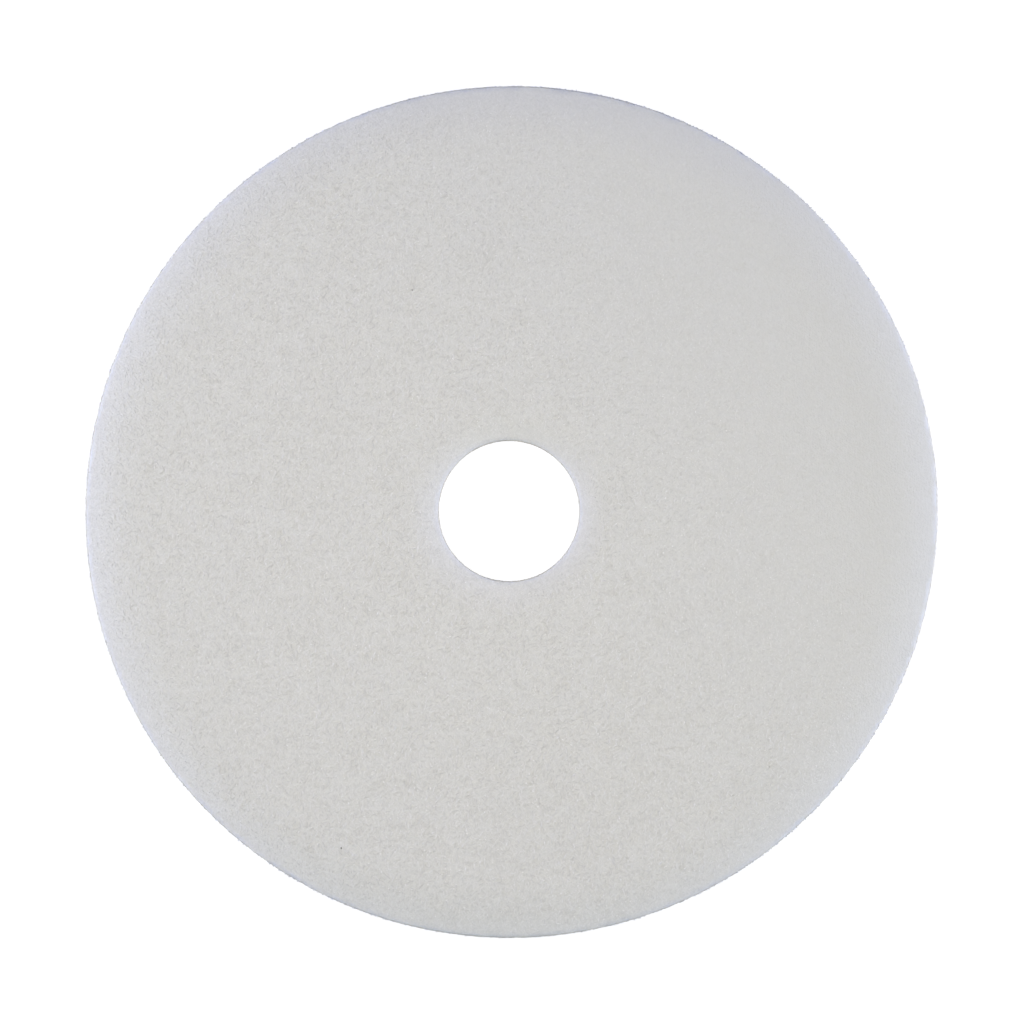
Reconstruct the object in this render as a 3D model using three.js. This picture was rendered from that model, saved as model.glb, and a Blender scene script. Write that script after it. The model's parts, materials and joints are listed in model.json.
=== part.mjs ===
// Floor polishing pad: one round of thick, springy nonwoven web, die-cut with the hole that
// centres it under a floor machine. It lies flat on its working face, the middle of that face at
// the origin, +Z up. Millimetres.
import * as THREE from 'three';
import { mergeVertices } from 'three/addons/utils/BufferGeometryUtils.js';

// Driving dimensions. Each can be changed by itself.
const padDiameter = 508; // widest part of the rim, a 20 inch pad
const padThickness = 25; // between the two flat faces
const holeDiameter = 84; // narrowest part of the punched wall
const holeOffsetX = -1.5; // the hole's centre from the pad's, as the punch left it
const holeOffsetY = 0.5;

// The web springs back after the die and stays a little oval.
const ovalStretch = 0.5; // added to the radius along the long axis, taken from it across
const ovalAngle = 41; // degrees from +X to the long axis

// The die crushes the web beside its cut: both faces fall away towards the rim and the hole, and
// the wall between them bulges.
const rimLip = {
  width: 34, // from the widest part of the wall to where the face is flat
  drop: 5.2, // how far the face has fallen where the corner begins
  corner: 0.7, // width of the rounded corner and the bulge together
  bulgeHeight: 5, // half the height of the stretch of wall that stands nearly upright
};
const holeLip = {
  width: 23,
  drop: 4.2,
  corner: 0.5,
  bulgeHeight: 6,
};

// How finely the rounds are faceted.
const turnSteps = 120;
const fallSteps = 4;
const wallSteps = 5;

const white = 0xd9d8d6;

// One lip's line, from the flat face to the middle of the wall, as points of x, the distance in
// from the widest part of the wall, and y, the height over the middle of the web. A parabola falls
// from the face, and a curve goes on along its slope, turns the corner and ends upright.
function lipLine(lip) {
  const half = padThickness / 2;
  const shoulder = new THREE.Vector2(lip.corner, half - lip.drop);
  const fall = new THREE.QuadraticBezierCurve(
    new THREE.Vector2(lip.width, half),
    new THREE.Vector2((lip.width + lip.corner) / 2, half),
    shoulder,
  );
  const slope = fall.getTangent(1).multiplyScalar(lip.corner / 2);
  const wall = new THREE.CubicBezierCurve(
    shoulder,
    shoulder.clone().add(slope),
    new THREE.Vector2(0, lip.bulgeHeight),
    new THREE.Vector2(0, 0),
  );
  return [...fall.getPoints(fallSteps), ...wall.getPoints(wallSteps).slice(1)];
}

// A whole edge of the section: the lip and its mirror image below, as points of radius and height
// from the bottom flat face to the top one. outward is 1 where the wall faces away from the axis
// and -1 where it faces the axis.
function edgeLine(lip, wallRadius, outward) {
  const upper = lipLine(lip);
  const lower = upper.slice(0, -1).map((p) => new THREE.Vector2(p.x, -p.y));
  return [...lower, ...upper.reverse()].map(
    (p) => new THREE.Vector2(wallRadius - outward * p.x, padThickness / 2 + p.y),
  );
}

// The section runs up the rim, in over the top face, down the hole and out under the bottom face
// to where it began.
function padSection() {
  const rim = edgeLine(rimLip, padDiameter / 2, 1);
  const hole = edgeLine(holeLip, holeDiameter / 2, -1).reverse();
  return [...rim, ...hole, rim[0].clone()];
}

// Lets the turned pad settle into the shape it has once cut: its hole off centre and its rim a
// little oval. Both fade across the web, so that the hole stays round and the faces stay flat.
function settle(geometry) {
  const place = geometry.attributes.position;
  const holeRadius = holeDiameter / 2;
  const webWidth = padDiameter / 2 - holeRadius;
  const longAxis = THREE.MathUtils.degToRad(ovalAngle);
  for (let i = 0; i < place.count; i++) {
    const x = place.getX(i);
    const y = place.getY(i);
    const radius = Math.hypot(x, y);
    const towardsRim = (radius - holeRadius) / webWidth;
    const towardsHole = 1 - towardsRim;
    const swell = ovalStretch * towardsRim * Math.cos(2 * (Math.atan2(y, x) - longAxis));
    const scale = 1 + swell / radius;
    place.setXY(i, x * scale + holeOffsetX * towardsHole, y * scale + holeOffsetY * towardsHole);
  }
}

function makePad() {
  let geometry = new THREE.LatheGeometry(padSection(), turnSteps);
  geometry.deleteAttribute('normal');
  geometry.deleteAttribute('uv');
  geometry.rotateX(Math.PI / 2);
  geometry = mergeVertices(geometry, 1e-3);
  settle(geometry);
  geometry.computeVertexNormals();
  const web = new THREE.MeshStandardMaterial({ color: white, roughness: 0.95, metalness: 0 });
  const pad = new THREE.Mesh(geometry, web);
  pad.name = 'polishing_pad';
  return pad;
}

const part = new THREE.Group();
part.add(makePad());

export default part;
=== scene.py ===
# %% [markdown]
# A floor polishing pad is one round of thick white nonwoven web. Crimped polyester fibres are laid
# at random, bonded with a little resin where they touch, and a die cuts the round and the hole that
# centres it under a floor machine. This lesson dresses the solid of such a pad, step by step: the
# web's body is swept from its section, thousands of fibres are laid over it, and a lens far above
# looks straight down on it.

# %% Load the solid that the looks are built around
import json
import math

import bmesh
import bpy
import numpy as np
from mathutils import Matrix, Vector


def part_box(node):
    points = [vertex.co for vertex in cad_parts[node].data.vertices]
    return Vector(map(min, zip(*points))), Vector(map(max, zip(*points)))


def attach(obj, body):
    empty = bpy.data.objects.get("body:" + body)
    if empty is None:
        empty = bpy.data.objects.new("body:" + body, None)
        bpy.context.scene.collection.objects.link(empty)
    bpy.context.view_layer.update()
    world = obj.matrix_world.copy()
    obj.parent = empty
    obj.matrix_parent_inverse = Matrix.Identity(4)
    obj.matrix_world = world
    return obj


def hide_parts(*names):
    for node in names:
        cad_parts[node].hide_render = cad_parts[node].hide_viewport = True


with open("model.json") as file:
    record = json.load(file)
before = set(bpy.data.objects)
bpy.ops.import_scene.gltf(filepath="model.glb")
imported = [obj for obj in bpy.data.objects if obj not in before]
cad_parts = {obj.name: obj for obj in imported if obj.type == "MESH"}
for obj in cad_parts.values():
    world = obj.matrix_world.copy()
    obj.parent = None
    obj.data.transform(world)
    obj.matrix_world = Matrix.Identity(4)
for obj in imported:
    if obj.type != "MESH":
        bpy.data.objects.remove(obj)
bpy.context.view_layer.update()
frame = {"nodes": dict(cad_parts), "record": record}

MM = 0.001
solid_low, solid_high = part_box("polishing_pad")
rim_radius = (solid_high.x - solid_low.x + solid_high.y - solid_low.y) / 4
thickness = solid_high.z - solid_low.z
hole = frame["record"]["physics"]["openings"][0]["box_m"]
hole_centre = Vector(((hole[0][0] + hole[1][0]) / 2, (hole[0][1] + hole[1][1]) / 2))
corners = [vertex.co.xy - hole_centre for vertex in frame["nodes"]["polishing_pad"].data.vertices]
hole_radius = min(corner.length for corner in corners)
middle_radius = (rim_radius + hole_radius) / 2
print(f"rim radius {rim_radius / MM:.2f} mm, hole radius {hole_radius / MM:.2f} mm")
print(f"thickness {thickness / MM:.1f} mm")
print(f"hole centre {hole_centre.x / MM:.2f}, {hole_centre.y / MM:.2f} mm")

# %% [markdown]
# Every tree below, for shapes and for finishes alike, is a handful of nodes joined by links. One
# helper adds a node, sets its properties and fills its inputs, where an input is either a value or
# the output of another node. A second helper opens a new shape tree with named inputs.

# %% A helper for nodes, and one for a shape tree
def add(tree, kind, sockets=None, **settings):
    node = tree.nodes.new(kind)
    for name, value in settings.items():
        setattr(node, name, value)
    for name, value in (sockets or {}).items():
        if isinstance(value, bpy.types.NodeSocket):
            tree.links.new(value, node.inputs[name])
        else:
            node.inputs[name].default_value = value
    return node


SOCKETS = {float: "NodeSocketFloat", int: "NodeSocketInt", Vector: "NodeSocketVector"}


def shape_tree(name, sizes):
    tree = bpy.data.node_groups.new(name, "GeometryNodeTree")
    tree.interface.new_socket("Geometry", in_out="INPUT", socket_type="NodeSocketGeometry")
    tree.interface.new_socket("Geometry", in_out="OUTPUT", socket_type="NodeSocketGeometry")
    for label, value in sizes.items():
        kind = SOCKETS.get(type(value), "NodeSocketMaterial")
        tree.interface.new_socket(label, in_out="INPUT", socket_type=kind)
    return tree, add(tree, "NodeGroupInput").outputs


# %% A helper that runs a shape tree once and keeps its result as a plain mesh
def grown(name, start_mesh, tree, sizes):
    start = bpy.data.objects.new(name + "_start", start_mesh)
    bpy.context.scene.collection.objects.link(start)
    modifier = start.modifiers.new("shape", "NODES")
    modifier.node_group = tree
    for socket in tree.interface.items_tree:
        if socket.in_out == "INPUT" and socket.name in sizes:
            modifier[socket.identifier] = sizes[socket.name]
    seen = start.evaluated_get(bpy.context.evaluated_depsgraph_get())
    mesh = bpy.data.meshes.new_from_object(seen)
    bpy.data.objects.remove(start)
    mesh.name = name
    piece = bpy.data.objects.new(name, mesh)
    bpy.context.scene.collection.objects.link(piece)
    print(f"{name}: {sum(len(face.vertices) - 2 for face in mesh.polygons)} triangles")
    return piece


# %% [markdown]
# Colours are written as they look on a screen, in hex, and turned to the linear values that the
# shader works in. The web is undyed polyester: a slightly warm white, rough and almost without
# gloss, that lets light wander a little way through its fibres before it comes out again.

# %% Colours, and a material to start each finish from
def linear(code):
    parts = [int(code[i:i + 2], 16) / 255 for i in (1, 3, 5)]
    return [p / 12.92 if p <= 0.04045 else ((p + 0.055) / 1.055) ** 2.4 for p in parts] + [1.0]


def new_finish(name):
    material = bpy.data.materials.new(name)
    material.use_nodes = True
    material.node_tree.nodes.clear()
    return material, material.node_tree


# %% [markdown]
# The web under the loose surface fibres is a dense tangle. Streaks stand for fibres that lie in it:
# noise is drawn out along one direction, and three layers turned against each other cross as laid
# fibres do. Real fibres are 0.05 mm thick, too fine to show, so the streaks are drawn at about 1 mm,
# as bundles. Softer clouds give the uneven lay of the web. The same streaks lift the surface. Towards
# the upper right of the face the streaks fade, and the loose fibres will lie flatter there too. There
# the web also darkens a little, a painted shade that stands in for the shadows of the flatter fibres.
# For the wall and its corners the same finish is made once more, darker and warmer: painted shade,
# which holds down the light that the low lamps throw on the tilted faces of the cut.

# %% Finish of the bonded web
CALM_SIDE = (0.9, 0.44)  # the way that the web grows calmer across the face
CALM_BEGINS = -20 * MM  # how far along that way, from the middle of the pad
CALM_FULL = 220 * MM
STREAK_TURNS = (35, 85, 140)  # degrees, uneven so that the crossings look laid at random
STREAK_SIZE = (2.3 * MM, 0.8 * MM, 0.8 * MM)
CLOUD_SIZE = 6 * MM
CLOUD_SHARE = 0.03
MIDDLE_TONE = 0.54  # what streaks and clouds together come to on average
TONE_REACH = 0.2  # from the middle tone to the darkest and the lightest colour
CALM_NAP = 0.4  # how much of the contrast is left on the calm side
CALM_PAINTED_SHADE = 0.2  # how far the middle tone sinks, as painted shade, if no contrast were left


def bonded_web(name, low, high):
    material, tree = new_finish(name)
    place = add(tree, "ShaderNodeTexCoord").outputs["Object"]

    # Three layers of streaks, each a third of the whole, and the clouds on top.
    streaks = None
    for degrees in STREAK_TURNS:
        drawn_out = add(tree, "ShaderNodeMapping", {
            "Vector": place,
            "Rotation": (0.0, 0.0, math.radians(degrees)),
            "Scale": STREAK_SIZE,
        }, vector_type="TEXTURE").outputs[0]
        layer = add(tree, "ShaderNodeTexNoise", {
            "Vector": drawn_out, "Scale": 1.0, "Detail": 1.0,
        }).outputs["Fac"]
        third = add(tree, "ShaderNodeMath", {
            0: layer, 1: 1 / len(STREAK_TURNS),
        }, operation="MULTIPLY").outputs[0]
        if streaks is None:
            streaks = third
        else:
            streaks = add(tree, "ShaderNodeMath", {0: streaks, 1: third}).outputs[0]
    clouds = add(tree, "ShaderNodeTexNoise", {
        "Vector": place, "Scale": 1 / CLOUD_SIZE, "Detail": 2.0,
    }).outputs["Fac"]
    tone = add(tree, "ShaderNodeMath", {
        0: clouds, 1: CLOUD_SHARE, 2: streaks,
    }, operation="MULTIPLY_ADD").outputs[0]

    # Towards the calm side the tone stays nearer to its middle, and that middle sinks a little: painted
    # shade for the shadows of the fibres that lie flatter there.
    across = add(tree, "ShaderNodeVectorMath", {
        0: place, 1: (*CALM_SIDE, 0.0),
    }, operation="DOT_PRODUCT").outputs["Value"]
    nap = add(tree, "ShaderNodeMapRange", {
        "Value": across, "From Min": CALM_BEGINS, "From Max": CALM_FULL,
        "To Min": 1.0, "To Max": CALM_NAP,
    }).outputs[0]
    apart = add(tree, "ShaderNodeMath", {
        0: tone, 1: MIDDLE_TONE,
    }, operation="SUBTRACT").outputs[0]
    middle = add(tree, "ShaderNodeMath", {
        0: nap, 1: CALM_PAINTED_SHADE, 2: MIDDLE_TONE - CALM_PAINTED_SHADE,
    }, operation="MULTIPLY_ADD").outputs[0]
    tone = add(tree, "ShaderNodeMath", {
        0: apart, 1: nap, 2: middle,
    }, operation="MULTIPLY_ADD").outputs[0]
    colour = add(tree, "ShaderNodeValToRGB", {"Fac": tone})
    colour.color_ramp.elements[0].position = MIDDLE_TONE - TONE_REACH
    colour.color_ramp.elements[0].color = linear(low)
    colour.color_ramp.elements[1].position = MIDDLE_TONE + TONE_REACH
    colour.color_ramp.elements[1].color = linear(high)

    bump = add(tree, "ShaderNodeBump", {"Height": streaks, "Strength": 0.5, "Distance": 1.2 * MM})
    shader = add(tree, "ShaderNodeBsdfPrincipled", {
        "Base Color": colour.outputs[0],
        "Roughness": 0.9,
        "Normal": bump.outputs[0],
        "Specular IOR Level": 0.25,
        "Subsurface Weight": 0.6,
        "Subsurface Radius": (1.0, 1.0, 1.0),
        "Subsurface Scale": 0.8 * MM,
    })
    add(tree, "ShaderNodeOutputMaterial", {"Surface": shader.outputs[0]})
    return material


web_finish = bonded_web("bonded_polyester_web", "#C9C7C3", "#DCDAD6")
# The cut's finish is darker and warmer than the web: painted shade on the wall and its corners.
edge_shade_finish = bonded_web("die_cut_web_painted_shade", "#C1BCAE", "#CFCABC")

# %% [markdown]
# A loose fibre is drawn polyester with a smooth skin, so it has a little more gloss than the tangle
# below and gives the nap its fine sparkle. Some fibres are bright and some dull, which makes the
# salt and pepper of the web. Those at a cut take the darker, warmer tone of the cut, a painted shade.

# %% Finishes of the loose fibres
def loose_fibre(name, colour):
    material, tree = new_finish(name)
    shader = add(tree, "ShaderNodeBsdfPrincipled", {
        "Base Color": linear(colour),
        "Roughness": 0.55,
        "Specular IOR Level": 0.3,
    })
    add(tree, "ShaderNodeOutputMaterial", {"Surface": shader.outputs[0]})
    return material


bright_fibre = loose_fibre("crimped_polyester_fibre_bright", "#E1DFDE")
# Lighter than the bright fibres: a painted highlight for the glint of a standing loop.
loop_highlight_fibre = loose_fibre("crimped_polyester_fibre_loop_painted_highlight", "#ECEAE8")
dull_fibre = loose_fibre("crimped_polyester_fibre_dull", "#C1BFBE")
# The fibres at a cut are darker and warmer: painted shade.
edge_fibre_shaded = loose_fibre("crimped_polyester_fibre_edge_painted_shade", "#C6C0B2")
cut_fibre_shaded = loose_fibre("crimped_polyester_fibre_cut_painted_shade", "#B0AA9C")

# %% [markdown]
# The section of the pad follows a rule. Beside each cut the die has crushed the web: a parabola
# falls away from the flat face, the line turns a tight corner on the same slope and runs down a
# slightly bulged wall. The same line, mirrored, is the lower half. The sizes are the solid's.

# %% The section line, as points of radius and height
LIPS = {
    "rim": {"width": 34 * MM, "drop": 5.2 * MM, "corner": 0.7 * MM, "bulge": 5 * MM},
    "hole": {"width": 23 * MM, "drop": 4.2 * MM, "corner": 0.5 * MM, "bulge": 6 * MM},
}
SPACING = 2.8 * MM  # between the section's points on the faces
WALL_STEPS = 7


def bezier(points, steps):
    t = np.linspace(0, 1, steps + 1)[:, None]
    degree = len(points) - 1
    weights = [math.comb(degree, k) * t ** k * (1 - t) ** (degree - k) for k in range(degree + 1)]
    return sum(weight * np.array(point) for weight, point in zip(weights, points))


def lip_line(width, drop, corner, bulge):
    half = thickness / 2
    shoulder = (corner, half - drop)
    fall = bezier([(width, half), ((width + corner) / 2, half), shoulder], round(width / SPACING))
    slope = np.array([-1, -2 * drop / (width - corner)])
    knee = np.array(shoulder) + slope / np.linalg.norm(slope) * corner / 2
    wall = bezier([shoulder, knee, (0, bulge), (0, 0)], WALL_STEPS)
    return np.vstack([fall, wall[1:]])


def edge_line(lip, wall_radius, outward):
    upper = lip_line(**LIPS[lip])
    lower = upper[:-1] * (1, -1)
    line = np.vstack([lower, upper[::-1]])
    return np.column_stack([wall_radius - outward * line[:, 0], thickness / 2 + line[:, 1]])


rim = edge_line("rim", rim_radius, 1)
lip = edge_line("hole", hole_radius, -1)[::-1]
flat_steps = round((rim[-1, 0] - lip[0, 0]) / SPACING)
top = np.linspace(rim[-1], lip[0], flat_steps + 1)[1:-1]
under = np.linspace(lip[-1], rim[0], flat_steps // 2 + 1)[1:-1]
section = np.vstack([rim, top, lip, under])
print(f"section: {len(section)} points round")

# %% [markdown]
# A shape tree sweeps that line round a circle, then lets it settle into the shape the cut pad has:
# the hole a little off centre, the rim a little oval. Both fade across the web, so that the hole
# stays round and the faces flat. Noise then moves the surface along its normals: long swells of the
# web's loft, lumps, and knots of fibre. Noise a few millimetres in size also tears at the cut rim,
# which is seldom clean. Faces that tilt more than the lips do get the finish of the cut, which is
# darker and warmer as painted shade.

# %% Tree that sweeps and settles the web
RELIEF = (  # the inputs for size and depth, and where in the noise each begins
    ("Swell Size", "Swell Depth", 3.0),
    ("Lump Size", "Lump Depth", 11.0),
    ("Knot Size", "Knot Depth", 23.0),
)
WALL_TILT = 0.7  # a wall's normal has less of the upright in it than this
MID_NOISE = 0.5  # what noise comes to on average


def sweep_tree(sizes):
    tree, given = shape_tree("sweep_web", sizes)
    line = add(tree, "GeometryNodeMeshToCurve", {"Mesh": given["Geometry"]}).outputs[0]
    path = add(tree, "GeometryNodeCurvePrimitiveCircle", {
        "Resolution": given["Turn Steps"], "Radius": given["Path Radius"],
    }).outputs[0]
    swept = add(tree, "GeometryNodeCurveToMesh", {"Curve": path, "Profile Curve": line}).outputs[0]

    # Where a point lies: how far out, in which direction, and how far from hole to rim.
    place = add(tree, "GeometryNodeInputPosition").outputs[0]
    split = add(tree, "ShaderNodeSeparateXYZ", {0: place}).outputs
    flat = add(tree, "ShaderNodeCombineXYZ", {0: split[0], 1: split[1]}).outputs[0]
    radius = add(tree, "ShaderNodeVectorMath", {0: flat}, operation="LENGTH").outputs["Value"]
    angle = add(tree, "ShaderNodeMath", {0: split[1], 1: split[0]}, operation="ARCTAN2").outputs[0]
    towards_rim = add(tree, "ShaderNodeMapRange", {
        "Value": radius, "From Min": given["Hole Radius"], "From Max": given["Rim Radius"],
    }, clamp=False).outputs[0]
    towards_hole = add(tree, "ShaderNodeMath", {
        0: 1.0, 1: towards_rim,
    }, operation="SUBTRACT").outputs[0]

    # The rim turns oval and the hole moves off centre.
    from_long = add(tree, "ShaderNodeMath", {
        0: angle, 1: given["Oval Angle"],
    }, operation="SUBTRACT").outputs[0]
    twice = add(tree, "ShaderNodeMath", {0: from_long, 1: 2.0}, operation="MULTIPLY").outputs[0]
    wave = add(tree, "ShaderNodeMath", {0: twice}, operation="COSINE").outputs[0]
    share = add(tree, "ShaderNodeMath", {0: wave, 1: towards_rim}, operation="MULTIPLY").outputs[0]
    swell = add(tree, "ShaderNodeMath", {
        0: share, 1: given["Oval Stretch"],
    }, operation="MULTIPLY").outputs[0]
    outward = add(tree, "ShaderNodeVectorMath", {0: flat}, operation="NORMALIZE").outputs[0]
    stretch = add(tree, "ShaderNodeVectorMath", {
        0: outward, "Scale": swell,
    }, operation="SCALE").outputs[0]
    shift = add(tree, "ShaderNodeVectorMath", {
        0: given["Hole Centre"], "Scale": towards_hole,
    }, operation="SCALE").outputs[0]
    moved = add(tree, "ShaderNodeVectorMath", {0: stretch, 1: shift}, operation="ADD").outputs[0]
    settled = add(tree, "GeometryNodeSetPosition", {"Geometry": swept, "Offset": moved}).outputs[0]

    # Three sizes of noise, added up.
    height = None
    for size, depth, seed in RELIEF:
        scale = add(tree, "ShaderNodeMath", {0: 1.0, 1: given[size]}, operation="DIVIDE").outputs[0]
        noise = add(tree, "ShaderNodeTexNoise", {
            "W": seed, "Scale": scale, "Detail": 1.0,
        }, noise_dimensions="4D").outputs[0]
        centred = add(tree, "ShaderNodeMath", {
            0: noise, 1: MID_NOISE,
        }, operation="SUBTRACT").outputs[0]
        layer = add(tree, "ShaderNodeMath", {
            0: centred, 1: given[depth],
        }, operation="MULTIPLY").outputs[0]
        if height is None:
            height = layer
        else:
            height = add(tree, "ShaderNodeMath", {0: height, 1: layer}, operation="ADD").outputs[0]

    # The tear, on the rim's wall alone.
    normal = add(tree, "GeometryNodeInputNormal").outputs[0]
    upright = add(tree, "ShaderNodeSeparateXYZ", {0: normal}).outputs[2]
    level = add(tree, "ShaderNodeMath", {0: upright}, operation="ABSOLUTE").outputs[0]
    on_wall = add(tree, "FunctionNodeCompare", {
        0: level, 1: WALL_TILT,
    }, data_type="FLOAT", operation="LESS_THAN").outputs[0]
    outer = add(tree, "FunctionNodeCompare", {
        0: towards_rim, 1: 0.5,
    }, data_type="FLOAT", operation="GREATER_THAN").outputs[0]
    torn = add(tree, "FunctionNodeBooleanMath", {0: on_wall, 1: outer}, operation="AND").outputs[0]
    scale = add(tree, "ShaderNodeMath", {
        0: 1.0, 1: given["Tear Size"],
    }, operation="DIVIDE").outputs[0]
    teeth = add(tree, "ShaderNodeTexNoise", {"Scale": scale, "Detail": 1.0}).outputs[0]
    centred = add(tree, "ShaderNodeMath", {0: teeth, 1: MID_NOISE}, operation="SUBTRACT").outputs[0]
    tear = add(tree, "ShaderNodeMath", {
        0: centred, 1: given["Tear Depth"],
    }, operation="MULTIPLY").outputs[0]
    tear = add(tree, "ShaderNodeMath", {0: tear, 1: torn}, operation="MULTIPLY").outputs[0]
    height = add(tree, "ShaderNodeMath", {0: height, 1: tear}, operation="ADD").outputs[0]
    along = add(tree, "ShaderNodeVectorMath", {
        0: normal, "Scale": height,
    }, operation="SCALE").outputs[0]
    rough = add(tree, "GeometryNodeSetPosition", {"Geometry": settled, "Offset": along}).outputs[0]

    # One finish for all, then a darker and warmer one, painted shade, for the faces that the die cut.
    smooth = add(tree, "GeometryNodeSetShadeSmooth", {"Geometry": rough}).outputs[0]
    dressed = add(tree, "GeometryNodeSetMaterial", {
        "Geometry": smooth, "Material": given["Finish"],
    }).outputs[0]
    gets_painted_shade = add(tree, "FunctionNodeCompare", {
        0: level, 1: given["Edge Tilt"],
    }, data_type="FLOAT", operation="LESS_THAN").outputs[0]
    both = add(tree, "GeometryNodeSetMaterial", {
        "Geometry": dressed, "Selection": gets_painted_shade, "Material": given["Edge Shade Finish"],
    }).outputs[0]
    real = add(tree, "GeometryNodeRealizeInstances", {"Geometry": both}).outputs[0]
    add(tree, "NodeGroupOutput", {"Geometry": real})
    return tree


# %% Sweep the web
web_sizes = {
    "Turn Steps": 660,
    "Path Radius": middle_radius,
    "Hole Radius": hole_radius,
    "Rim Radius": rim_radius,
    "Hole Centre": Vector((*hole_centre, 0)),
    "Oval Stretch": 0.5 * MM,
    "Oval Angle": math.radians(41),
    "Swell Size": 55 * MM,
    "Swell Depth": 0.3 * MM,
    "Lump Size": 12 * MM,
    "Lump Depth": 0.08 * MM,
    "Knot Size": 4 * MM,
    "Knot Depth": 0.08 * MM,
    "Tear Size": 5 * MM,
    "Tear Depth": 0.8 * MM,
    "Finish": web_finish,
    "Edge Shade Finish": edge_shade_finish,
    "Edge Tilt": 0.93,
}
outline = bpy.data.meshes.new("section")
points = [(r - middle_radius, -z, 0) for r, z in section[::-1]]
edges = [(i, (i + 1) % len(points)) for i in range(len(points))]
outline.from_pydata(points, edges, [])
web = grown("web_body", outline, sweep_tree(web_sizes), web_sizes)
places = np.array([vertex.co for vertex in web.data.vertices])
print("web reaches from", places.min(0) / MM, "to", places.max(0) / MM, "mm")

# %% [markdown]
# Loose fibres lie over the web and give it its nap. A second shape tree lays them, so that how
# many, how long and how high is a matter of its inputs: points are scattered over one zone of the
# web, each gets a straight fibre turned at random, noise crimps it, and the nearest place on the web
# holds it down, its ends buried in the tangle and its middle lifted. The lift fades towards the
# calm side and on the lips, where the die has pressed the nap down. Real fibres are about 0.05 mm
# thick, which no lens sees from here, so they are drawn several times as thick, as small bundles.
# The top is laid in quarters, so that no piece grows too heavy.

# %% Zones of the web that fibres are laid on
ZONES = {"top_1": 1, "top_2": 2, "top_3": 3, "top_4": 4, "rim": 5, "hole": 6, "under": 7}
STEEP = 0.8  # a steep face's normal has no more of the upright in it than this
UNDER = -0.5  # the same for a face of the underside, which looks down


def mark_zones(mesh):
    count = len(mesh.polygons)
    centres = np.empty(count * 3, np.float32)
    normals = np.empty(count * 3, np.float32)
    mesh.polygons.foreach_get("center", centres)
    mesh.polygons.foreach_get("normal", normals)
    centres, normals = centres.reshape(-1, 3), normals.reshape(-1, 3)
    quarter = np.floor(np.arctan2(centres[:, 1], centres[:, 0]) / (math.pi / 2)) + 3  # 1 to 4
    outer = np.hypot(centres[:, 0], centres[:, 1]) > middle_radius
    zone = np.where(normals[:, 2] < UNDER, ZONES["under"], quarter)
    steep = np.abs(normals[:, 2]) <= STEEP
    zone = np.where(steep & outer, ZONES["rim"], zone)
    zone = np.where(steep & ~outer, ZONES["hole"], zone)
    layer = mesh.attributes.new("zone", "INT", "FACE")
    layer.data.foreach_set("value", zone.astype(np.int32))
    areas = np.empty(count, np.float32)
    mesh.polygons.foreach_get("area", areas)
    for name, number in ZONES.items():
        print(f"zone {name}: {areas[zone == number].sum() * 1e4:.0f} square cm")


mark_zones(web.data)

# %% Tree that lays fibres
LENGTH_SHARES = (0.55, 1.3)  # the shortest and longest fibre, as shares of Fibre Length
LOFT_SHARES = (0.25, 1.0)
CRIMP_APART = 60.0  # how far apart in the noise two fibres may lie, so that no two crimp alike
LIVELY_NAP = 1.08  # what the lift is multiplied by on the lively side
LIP_TILT = (0.955, 0.995)  # from a lip's slope to the flat face, as the upright part of the normal
LENGTH_SEED = 5
OWN_SEED = 7
LOFT_SEED = 9


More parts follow.
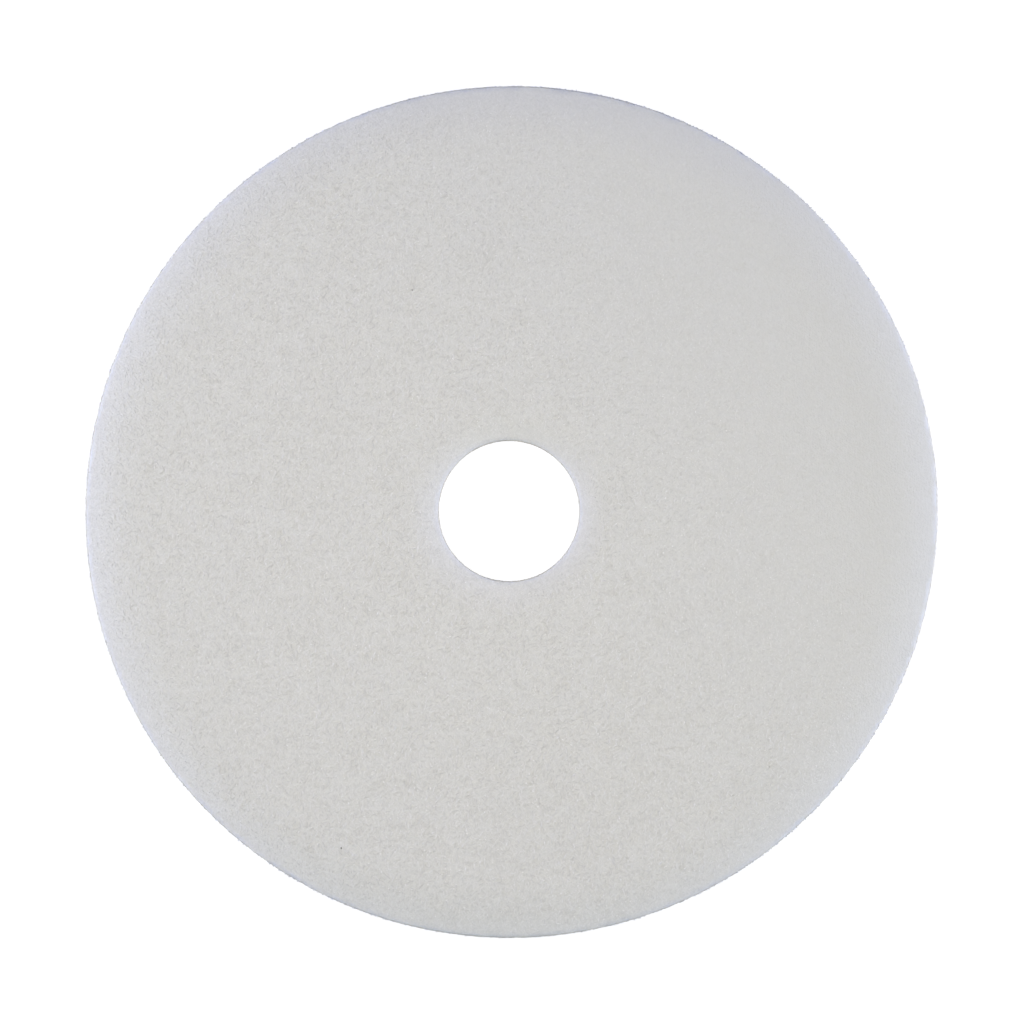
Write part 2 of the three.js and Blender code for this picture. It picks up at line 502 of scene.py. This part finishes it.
def fibre_tree(sizes):
    tree, given = shape_tree("lay_fibres", sizes)
    web_here = given["Geometry"]

    # Points scattered over the zone, each turned flat on the web and then spun at random.
    zone = add(tree, "GeometryNodeInputNamedAttribute", {"Name": "zone"}, data_type="INT").outputs[0]
    chosen = add(tree, "FunctionNodeCompare", {
        2: zone, 3: given["Zone"],
    }, data_type="INT", operation="EQUAL").outputs[0]
    dots = add(tree, "GeometryNodeDistributePointsOnFaces", {
        "Mesh": web_here,
        "Selection": chosen,
        "Distance Min": given["Room Each"],
        "Density Max": given["Fibres A Square Metre"],
        "Seed": given["Seed"],
    }, distribute_method="POISSON").outputs
    upright = add(tree, "FunctionNodeAlignRotationToVector", {
        "Vector": dots["Normal"],
    }, axis="Z").outputs[0]
    combed = add(tree, "FunctionNodeAlignRotationToVector", {
        "Rotation": upright, "Vector": given["Main Direction"],
    }, axis="X", pivot_axis="Z").outputs[0]
    back = add(tree, "ShaderNodeMath", {0: given["Spread"], 1: -1.0}, operation="MULTIPLY").outputs[0]
    spin = add(tree, "FunctionNodeRandomValue", {
        2: back, 3: given["Spread"], "Seed": given["Seed"],
    }).outputs[1]
    turn = add(tree, "ShaderNodeCombineXYZ", {2: spin}).outputs[0]
    lying = add(tree, "FunctionNodeRotateRotation", {
        0: combed, 1: turn,
    }, rotation_space="LOCAL").outputs[0]

    # A straight line with a few points on it, longer or shorter at random.
    half = add(tree, "ShaderNodeMath", {
        0: given["Fibre Length"], 1: 0.5,
    }, operation="MULTIPLY").outputs[0]
    minus = add(tree, "ShaderNodeMath", {0: half, 1: -1.0}, operation="MULTIPLY").outputs[0]
    line = add(tree, "GeometryNodeCurvePrimitiveLine", {
        "Start": add(tree, "ShaderNodeCombineXYZ", {0: minus}).outputs[0],
        "End": add(tree, "ShaderNodeCombineXYZ", {0: half}).outputs[0],
    }).outputs[0]
    stepped = add(tree, "GeometryNodeResampleCurve", {"Curve": line, "Count": given["Bends"]}).outputs[0]
    share = add(tree, "FunctionNodeRandomValue", {
        2: LENGTH_SHARES[0], 3: LENGTH_SHARES[1], "Seed": LENGTH_SEED,
    }).outputs[1]
    laid = add(tree, "GeometryNodeInstanceOnPoints", {
        "Points": dots["Points"],
        "Instance": stepped,
        "Rotation": lying,
        "Scale": add(tree, "ShaderNodeCombineXYZ", {0: share, 1: 1.0, 2: 1.0}).outputs[0],
    }).outputs[0]

    # Each fibre keeps one random number of its own, for its crimp and its finish.
    drawn = add(tree, "FunctionNodeRandomValue", {2: 0.0, 3: 1.0, "Seed": OWN_SEED}).outputs[1]
    known = add(tree, "GeometryNodeStoreNamedAttribute", {
        "Geometry": laid, "Name": "own", "Value": drawn,
    }, data_type="FLOAT", domain="INSTANCE").outputs[0]
    curves = add(tree, "GeometryNodeRealizeInstances", {"Geometry": known}).outputs[0]
    own = add(tree, "GeometryNodeInputNamedAttribute", {"Name": "own"}, data_type="FLOAT").outputs[0]

    # Noise crimps the line, and the nearest place on the web takes hold of each of its points.
    place = add(tree, "GeometryNodeInputPosition").outputs[0]
    normal_here = add(tree, "GeometryNodeInputNormal").outputs[0]
    apart = add(tree, "ShaderNodeMath", {0: own, 1: CRIMP_APART}, operation="MULTIPLY").outputs[0]
    crimp_scale = add(tree, "ShaderNodeMath", {
        0: 1.0, 1: given["Crimp Size"],
    }, operation="DIVIDE").outputs[0]
    crimp = add(tree, "ShaderNodeTexNoise", {
        "Vector": place, "W": apart, "Scale": crimp_scale, "Detail": 1.0,
    }, noise_dimensions="4D").outputs["Color"]
    centred = add(tree, "ShaderNodeVectorMath", {
        0: crimp, 1: (MID_NOISE, MID_NOISE, MID_NOISE),
    }, operation="SUBTRACT").outputs[0]
    wander = add(tree, "ShaderNodeVectorMath", {
        0: centred, "Scale": given["Crimp"],
    }, operation="SCALE").outputs[0]
    there = add(tree, "ShaderNodeVectorMath", {0: place, 1: wander}, operation="ADD").outputs[0]
    held = add(tree, "GeometryNodeSampleNearestSurface", {
        "Mesh": web_here, "Value": place, "Sample Position": there,
    }, data_type="FLOAT_VECTOR").outputs[0]
    normal = add(tree, "GeometryNodeSampleNearestSurface", {
        "Mesh": web_here, "Value": normal_here, "Sample Position": there,
    }, data_type="FLOAT_VECTOR").outputs[0]

    # An arch over the fibre's length, 0 at its ends and 1 at its middle.
    along = add(tree, "GeometryNodeSplineParameter").outputs[0]
    from_middle = add(tree, "ShaderNodeMath", {
        0: along, 1: 2.0, 2: -1.0,
    }, operation="MULTIPLY_ADD").outputs[0]
    square = add(tree, "ShaderNodeMath", {0: from_middle, 1: 2.0}, operation="POWER").outputs[0]
    arch = add(tree, "ShaderNodeMath", {0: 1.0, 1: square}, operation="SUBTRACT").outputs[0]

    # How high its middle rises out of the tangle, less towards the calm side and on the lips.
    loft = add(tree, "FunctionNodeRandomValue", {
        2: LOFT_SHARES[0],
        3: LOFT_SHARES[1],
        "Seed": LOFT_SEED,
        "ID": add(tree, "GeometryNodeCurveOfPoint").outputs[0],
    }).outputs[1]
    lift = add(tree, "ShaderNodeMath", {0: given["Loft"], 1: loft}, operation="MULTIPLY").outputs[0]
    rise = add(tree, "ShaderNodeMath", {0: lift, 1: given["Bury"]}, operation="ADD").outputs[0]
    across = add(tree, "ShaderNodeVectorMath", {
        0: held, 1: given["Calm Side"],
    }, operation="DOT_PRODUCT").outputs["Value"]
    nap = add(tree, "ShaderNodeMapRange", {
        "Value": across, "From Min": CALM_BEGINS, "From Max": CALM_FULL,
        "To Min": LIVELY_NAP, "To Max": given["Calm Nap"],
    }).outputs[0]
    level = add(tree, "ShaderNodeSeparateXYZ", {0: normal}).outputs[2]
    pressed = add(tree, "ShaderNodeMapRange", {
        "Value": level, "From Min": LIP_TILT[0], "From Max": LIP_TILT[1],
        "To Min": given["Lip Nap"], "To Max": 1.0,
    }).outputs[0]
    rise = add(tree, "ShaderNodeMath", {0: rise, 1: nap}, operation="MULTIPLY").outputs[0]
    rise = add(tree, "ShaderNodeMath", {0: rise, 1: pressed}, operation="MULTIPLY").outputs[0]
    height = add(tree, "ShaderNodeMath", {0: rise, 1: arch}, operation="MULTIPLY").outputs[0]
    height = add(tree, "ShaderNodeMath", {
        0: height, 1: given["Bury"],
    }, operation="SUBTRACT").outputs[0]
    lifted = add(tree, "ShaderNodeVectorMath", {
        0: normal, "Scale": height,
    }, operation="SCALE").outputs[0]
    final = add(tree, "ShaderNodeVectorMath", {0: held, 1: lifted}, operation="ADD").outputs[0]
    bent = add(tree, "GeometryNodeSetPosition", {"Geometry": curves, "Position": final}).outputs[0]

    # A three-sided thread along the line, bright or dull by the fibre's own number.
    thread = add(tree, "GeometryNodeCurvePrimitiveCircle", {
        "Resolution": 3, "Radius": given["Fibre Radius"],
    }).outputs[0]
    solid = add(tree, "GeometryNodeCurveToMesh", {
        "Curve": bent, "Profile Curve": thread, "Fill Caps": True,
    }).outputs[0]
    smooth = add(tree, "GeometryNodeSetShadeSmooth", {"Geometry": solid}).outputs[0]
    bright = add(tree, "GeometryNodeSetMaterial", {
        "Geometry": smooth, "Material": given["Bright Finish"],
    }).outputs[0]
    is_dull = add(tree, "FunctionNodeCompare", {
        0: own, 1: given["Dull Share"],
    }, data_type="FLOAT", operation="LESS_THAN").outputs[0]
    both = add(tree, "GeometryNodeSetMaterial", {
        "Geometry": bright, "Selection": is_dull, "Material": given["Dull Finish"],
    }).outputs[0]
    real = add(tree, "GeometryNodeRealizeInstances", {"Geometry": both}).outputs[0]
    add(tree, "NodeGroupOutput", {"Geometry": real})
    return tree


# %% Lay the fibres, zone by zone
fibre_sizes = {
    "Zone": 1,
    "Fibres A Square Metre": 500000.0,
    "Room Each": 1.52 * MM,
    "Fibre Length": 3.2 * MM,
    "Bends": 3,
    "Fibre Radius": 0.14 * MM,
    "Crimp Size": 2 * MM,
    "Crimp": 1.5 * MM,
    "Loft": 0.35 * MM,
    "Bury": 0.18 * MM,
    "Calm Side": Vector((*CALM_SIDE, 0)),
    "Calm Nap": 0.05,
    "Lip Nap": 0.35,
    "Main Direction": Vector((0, 1, 0)),
    "Spread": math.radians(80),
    "Seed": 1,
    "Dull Share": 0.4,
    "Bright Finish": bright_fibre,
    "Dull Finish": dull_fibre,
}
# The rim and the hole take the fibres of the cut, whose darker, warmer colours are painted shade.
CUT_FIBRES = {
    "Spread": math.radians(90),
    "Fibre Length": 1.8 * MM,
    "Crimp": 0.8 * MM,
    "Calm Nap": 1.0,
    "Lip Nap": 1.0,
    "Bright Finish": edge_fibre_shaded,
    "Dull Finish": cut_fibre_shaded,
}
ZONE_SIZES = {
    "rim": {**CUT_FIBRES, "Loft": 0.4 * MM},
    "hole": {**CUT_FIBRES, "Loft": 0.15 * MM},
    "under": {
        "Fibres A Square Metre": 60000.0,
        "Room Each": 5.5 * MM,
        "Fibre Length": 7 * MM,
        "Bends": 4,
        "Loft": 0.1 * MM,
    },
}
FIBRE_SEED = 10
tree = fibre_tree(fibre_sizes)
fibres = []
for zone, number in ZONES.items():
    sizes = {**fibre_sizes, **ZONE_SIZES.get(zone, {}), "Zone": number, "Seed": FIBRE_SEED + number}
    fibres.append(grown("web_fibres_" + zone, web.data.copy(), tree, sizes))

# %% [markdown]
# Here and there a fibre stands up in a tight loop and catches the light as a bright speck. On the
# face the loops are also coloured lighter than the other fibres, a painted highlight. The same tree
# makes the loops: very short fibres with a high middle. Taller ones stand out of the cut rim and fray
# the outline by up to a millimetre.

# %% Raise the loops
loop_sizes = {
    **fibre_sizes,
    "Fibres A Square Metre": 14000.0,
    "Room Each": 2 * MM,
    "Fibre Length": 1.2 * MM,
    "Fibre Radius": 0.25 * MM,
    "Crimp": 0.4 * MM,
    "Loft": 0.6 * MM,
    "Bury": 0.3 * MM,
    "Spread": math.radians(90),
    "Dull Share": 0.0,
    # the lighter colour of the loops is a painted highlight
    "Bright Finish": loop_highlight_fibre,
}
LOOP_ZONES = {
    "top_1": {},
    "top_2": {},
    "top_3": {},
    "top_4": {},
    "rim": {
        "Fibres A Square Metre": 60000.0,
        "Room Each": 2.6 * MM,
        "Loft": 0.9 * MM,
        "Calm Nap": 1.0,
        "Lip Nap": 1.0,
        "Dull Share": 0.5,
        "Bright Finish": bright_fibre,
    },
}
LOOP_SEED = 40
loops = []
for zone, own_sizes in LOOP_ZONES.items():
    number = ZONES[zone]
    sizes = {**loop_sizes, **own_sizes, "Zone": number, "Seed": LOOP_SEED + number}
    loops.append(grown("web_loops_" + zone, web.data.copy(), tree, sizes))

# %% [markdown]
# Three dark specks of lint are caught in the photographed web, each about a millimetre long. A ball
# squashed along one side makes each speck, half sunk where the web's surface is at that place.

# %% Press the specks into the web
def dark_lint():  # cotton, matt and grey brown
    material, tree = new_finish("dark_cotton_lint")
    shader = add(tree, "ShaderNodeBsdfPrincipled", {
        "Base Color": linear("#55504C"), "Roughness": 0.9,
    })
    add(tree, "ShaderNodeOutputMaterial", {"Surface": shader.outputs[0]})
    return material


SPECK_DEPTH = 0.3 * MM  # from a speck's middle to its top
SPECKS = [  # place on the face, length and width, and the way it points in degrees
    ((-59.2 * MM, 132.2 * MM), (0.8 * MM, 0.5 * MM), 70),
    ((-101.5 * MM, -200.3 * MM), (1.3 * MM, 0.8 * MM), 100),
    ((153.7 * MM, -151.9 * MM), (0.7 * MM, 0.3 * MM), 20),
]
face = places[places[:, 2] > thickness / 2]
lint = bmesh.new()
for (x, y), (length, width), degrees in SPECKS:
    nearest = np.hypot(face[:, 0] - x, face[:, 1] - y).argmin()
    place = Matrix.Translation((x, y, face[nearest, 2]))
    turn = Matrix.Rotation(math.radians(degrees), 4, "Z")
    size = Matrix.Diagonal((length / 2, width / 2, SPECK_DEPTH, 1.0))
    bmesh.ops.create_icosphere(lint, subdivisions=2, radius=1.0, matrix=place @ turn @ size)
specks_mesh = bpy.data.meshes.new("lint_specks")
lint.to_mesh(specks_mesh)
lint.free()
specks_mesh.materials.append(dark_lint())
specks = bpy.data.objects.new("lint_specks", specks_mesh)
bpy.context.scene.collection.objects.link(specks)
print(f"specks: {len(specks_mesh.polygons)} triangles")

# %% Join the pieces to the solid's frame
pieces = [web, *fibres, *loops, specks]
for piece in pieces:
    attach(piece, "root")
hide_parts("polishing_pad")

# %% [markdown]
# The pad lies on a plain pale floor. The camera sees that floor as white and the pad's shadow on it
# as a faint grey, while light that reaches the pad from it is that of an ordinary white floor.

# %% The floor
FLOOR_GLOW = 0.985  # with what the lamps add it comes to white
FLOOR_SHADE = 0.12  # how strongly the pad's shadow shows on it
FLOOR_REACH = 12.0
FLOOR_DROP = 0.6 * MM  # the fibres of the underside need this room


def white_floor():
    material, tree = new_finish("white_floor")
    seen = add(tree, "ShaderNodeLightPath").outputs
    straight = add(tree, "ShaderNodeMath", {
        0: seen["Is Camera Ray"], 1: seen["Is Glossy Ray"],
    }, operation="MAXIMUM").outputs[0]
    straight = add(tree, "ShaderNodeMath", {
        0: straight, 1: seen["Is Transmission Ray"],
    }, operation="MAXIMUM").outputs[0]
    glow = add(tree, "ShaderNodeEmission", {"Color": (1, 1, 1, 1), "Strength": FLOOR_GLOW})
    faint = add(tree, "ShaderNodeBsdfDiffuse", {"Color": (*[FLOOR_SHADE] * 3, 1)})
    shown = add(tree, "ShaderNodeAddShader", {0: glow.outputs[0], 1: faint.outputs[0]})
    plain = add(tree, "ShaderNodeBsdfDiffuse", {"Color": linear("#E6E6E6")})
    mixed = add(tree, "ShaderNodeMixShader", {
        0: straight, 1: plain.outputs[0], 2: shown.outputs[0],
    })
    add(tree, "ShaderNodeOutputMaterial", {"Surface": mixed.outputs[0]})
    return material


floor_mesh = bpy.data.meshes.new("floor")
floor_mesh.from_pydata([
    (x * FLOOR_REACH, y * FLOOR_REACH, -FLOOR_DROP) for x, y in ((-1, -1), (1, -1), (1, 1), (-1, 1))
], [], [(0, 1, 2, 3)])
floor_mesh.materials.append(white_floor())
floor = bpy.data.objects.new("floor", floor_mesh)
bpy.context.scene.collection.objects.link(floor)

# %% World: white to the camera, and no light of its own
world = bpy.data.worlds.new("studio")
bpy.context.scene.world = world
world.use_nodes = True
world.node_tree.nodes.clear()
seen = add(world.node_tree, "ShaderNodeLightPath").outputs
dark = add(world.node_tree, "ShaderNodeBackground", {"Strength": 0.0})
white = add(world.node_tree, "ShaderNodeBackground", {"Color": (1, 1, 1, 1), "Strength": 1.0})
either = add(world.node_tree, "ShaderNodeMixShader", {
    0: seen["Is Camera Ray"], 1: dark.outputs[0], 2: white.outputs[0],
})
add(world.node_tree, "ShaderNodeOutputWorld", {"Surface": either.outputs[0]})

# %% [markdown]
# The light of the photograph reads from the pad's own shading. The flat face is lit from above and
# from high on both sides, a little warm. The crushed rim turns bright and cool on the left and the
# right, so strong soft boxes stand there, low over the floor. The rim at the top and bottom of the
# picture turns dark, so the boxes there are weak.

# %% Lamps
def soft_box(name, place, size, power, colour):
    lamp = bpy.data.lights.new(name, "AREA")
    lamp.shape = "RECTANGLE"
    lamp.size, lamp.size_y = size
    lamp.energy = power
    lamp.color = linear(colour)[:3]
    box = bpy.data.objects.new(name, lamp)
    box.location = place
    aim = Vector((0, 0, thickness / 2)) - Vector(place)
    box.rotation_euler = aim.to_track_quat("-Z", "Y").to_euler()
    box.visible_camera = False
    bpy.context.scene.collection.objects.link(box)


soft_box("overhead_box", (0, -0.08, 1.2), (0.5, 0.5), 8.5, "#FFF8EE")
soft_box("left_box", (-1.3, 0.3, 0.8), (1.0, 0.6), 12.2, "#FAFFFC")
soft_box("right_box", (1.3, 0.1, 0.8), (1.0, 0.6), 7.4, "#FAFFD6")
soft_box("front_low_box", (0, -1.3, 0.3), (1.0, 0.4), 6.0, "#B0CEFF")
soft_box("left_low_box", (-2.0, 0.2, 0.28), (1.0, 0.3), 28.1, "#B6C4FF")
soft_box("right_low_box", (2.0, 0.1, 0.28), (1.0, 0.3), 42.1, "#BFCBFF")
soft_box("back_low_box", (0, 1.3, 0.3), (1.0, 0.4), 4.2, "#5D89FF")

# %% [markdown]
# The photograph is square to the pad, with no side of it in sight, so a long lens looks straight
# down from well above. Its focal length follows from the pad's width in the picture.

# %% Camera
PICTURE = 1024  # pixels each way
RIM_IN_PICTURE = 425.4  # radius in pixels
PAD_CENTRE_IN_PICTURE = (511.58, 511.96)
HEIGHT = 6.0
SENSOR = 36.0
metres_a_pixel = rim_radius / RIM_IN_PICTURE
camera = bpy.data.objects.new("camera", bpy.data.cameras.new("camera"))
camera.data.sensor_width = SENSOR
camera.data.lens = SENSOR * (HEIGHT - thickness / 2) / (metres_a_pixel * PICTURE)
camera.location = (
    (PICTURE / 2 - PAD_CENTRE_IN_PICTURE[0]) * metres_a_pixel,
    (PAD_CENTRE_IN_PICTURE[1] - PICTURE / 2) * metres_a_pixel,
    HEIGHT,
)
camera.data.clip_end = 100.0
bpy.context.scene.collection.objects.link(camera)
bpy.context.scene.camera = camera
bpy.context.scene.view_settings.view_transform = "Standard"
print(f"lens {camera.data.lens:.0f} mm from {HEIGHT} m")
